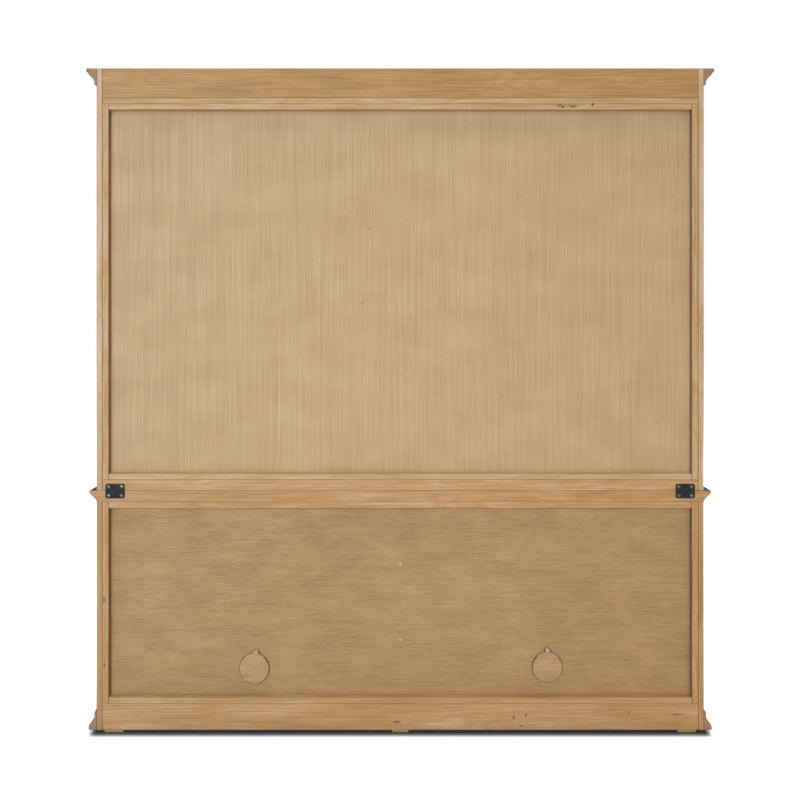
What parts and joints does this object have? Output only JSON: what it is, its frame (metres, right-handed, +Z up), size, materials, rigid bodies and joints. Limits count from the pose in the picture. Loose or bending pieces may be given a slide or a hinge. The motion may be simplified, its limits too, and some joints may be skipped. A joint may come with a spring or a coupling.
{
  "type": "storage cabinet",
  "caption": "Tall two-piece hutch cabinet: glazed doors over panelled doors, moulded cornice, waist and skirting, recessed panelled back with round cable-port covers.",
  "frame": {"origin": "on the floor, in the middle of the outer box", "axes": "+Z up, front faces -Y, back faces +Y, +X to the right of a person facing the front"},
  "size_m": [2.136, 0.513, 2.26],
  "materials": {
    "dark_oak": "dark brown-black stained oak, satin lacquer",
    "raw_oak": "raw planed oak, unfinished",
    "pale_veneer": "pale straight-grained veneered panel, unfinished",
    "back_veneer": "veneered panel with level grain, unfinished",
    "clear_glass": "clear float glass",
    "black_iron": "matt black coated steel",
    "aged_bronze": "dark aged bronze",
    "zinc_steel": "zinc-plated steel",
    "catch_plastic": "dark brown moulded plastic"
  },
  "bodies": {
    "cabinet": {"back_panel_brads": "zinc_steel", "back_panel_screws": "zinc_steel", "base_back_cleats": "raw_oak", "base_back_panel": "back_veneer", "base_bottom_board": "dark_oak", "base_divider": "dark_oak", "base_face_frame": "dark_oak", "base_shelf_left": "dark_oak", "base_shelf_right": "dark_oak", "base_side_left": "dark_oak", "base_side_right": "dark_oak", "base_top_board": "dark_oak", "cornice_moulding": "dark_oak", "cornice_rear_rail": "raw_oak", "feet": "raw_oak", "hinge_frame_leaves": "aged_bronze", "hinge_pins": "aged_bronze", "joining_plate_left": "black_iron", "joining_plate_right": "black_iron", "joining_plate_screws": "zinc_steel", "magnetic_catches": "catch_plastic", "plinth_rear_rail": "raw_oak", "shelf_pins": "zinc_steel", "skirting_moulding": "dark_oak", "upper_back_cleats": "raw_oak", "upper_back_panel": "pale_veneer", "upper_bottom_board": "dark_oak", "upper_face_frame": "dark_oak", "upper_rear_rail": "raw_oak", "upper_shelf_lower": "dark_oak", "upper_shelf_upper": "dark_oak", "upper_side_left": "dark_oak", "upper_side_right": "dark_oak", "upper_top_board": "dark_oak"},
    "base_door_1": {"base_door_1_frame": "dark_oak", "base_door_1_hardware": "aged_bronze", "base_door_1_panel": "dark_oak"},
    "base_door_2": {"base_door_2_frame": "dark_oak", "base_door_2_hardware": "aged_bronze", "base_door_2_panel": "dark_oak"},
    "base_door_3": {"base_door_3_frame": "dark_oak", "base_door_3_hardware": "aged_bronze", "base_door_3_panel": "dark_oak"},
    "base_door_4": {"base_door_4_frame": "dark_oak", "base_door_4_hardware": "aged_bronze", "base_door_4_panel": "dark_oak"},
    "upper_door_1": {"upper_door_1_frame": "dark_oak", "upper_door_1_glass": "clear_glass", "upper_door_1_hardware": "aged_bronze"},
    "upper_door_2": {"upper_door_2_frame": "dark_oak", "upper_door_2_glass": "clear_glass", "upper_door_2_hardware": "aged_bronze"},
    "upper_door_3": {"upper_door_3_frame": "dark_oak", "upper_door_3_glass": "clear_glass", "upper_door_3_hardware": "aged_bronze"},
    "upper_door_4": {"upper_door_4_frame": "dark_oak", "upper_door_4_glass": "clear_glass", "upper_door_4_hardware": "aged_bronze"},
    "cable_cover_left": {"cable_cover_left": "raw_oak"},
    "cable_cover_right": {"cable_cover_right": "raw_oak"}
  },
  "joints": [
    {"name": "base_door_1_hinge", "type": "hinge", "parent": "cabinet", "child": "base_door_1", "pos_m": [-0.9872, -0.2333, 0.423], "axis": [0, 0, -1], "range_deg": [0, 165]},
    {"name": "base_door_2_hinge", "type": "hinge", "parent": "cabinet", "child": "base_door_2", "pos_m": [-0.0283, -0.2333, 0.423], "axis": [0, 0, 1], "range_deg": [0, 90]},
    {"name": "base_door_3_hinge", "type": "hinge", "parent": "cabinet", "child": "base_door_3", "pos_m": [0.0283, -0.2333, 0.423], "axis": [0, 0, -1], "range_deg": [0, 90]},
    {"name": "base_door_4_hinge", "type": "hinge", "parent": "cabinet", "child": "base_door_4", "pos_m": [0.9872, -0.2333, 0.423], "axis": [0, 0, 1], "range_deg": [0, 165]},
    {"name": "upper_door_1_hinge", "type": "hinge", "parent": "cabinet", "child": "upper_door_1", "pos_m": [-0.9872, -0.1533, 1.4905], "axis": [0, 0, -1], "range_deg": [0, 165]},
    {"name": "upper_door_2_hinge", "type": "hinge", "parent": "cabinet", "child": "upper_door_2", "pos_m": [-0.0283, -0.1533, 1.4905], "axis": [0, 0, 1], "range_deg": [0, 90]},
    {"name": "upper_door_3_hinge", "type": "hinge", "parent": "cabinet", "child": "upper_door_3", "pos_m": [0.0283, -0.1533, 1.4905], "axis": [0, 0, -1], "range_deg": [0, 90]},
    {"name": "upper_door_4_hinge", "type": "hinge", "parent": "cabinet", "child": "upper_door_4", "pos_m": [0.9872, -0.1533, 1.4905], "axis": [0, 0, 1], "range_deg": [0, 165]},
    {"name": "cable_cover_left_pivot", "type": "hinge", "parent": "cabinet", "child": "cable_cover_left", "pos_m": [-0.503, 0.229, 0.273], "axis": [0, 1, 0], "continuous": true},
    {"name": "cable_cover_right_pivot", "type": "hinge", "parent": "cabinet", "child": "cable_cover_right", "pos_m": [0.4935, 0.229, 0.268], "axis": [0, 1, 0], "continuous": true}
  ]
}
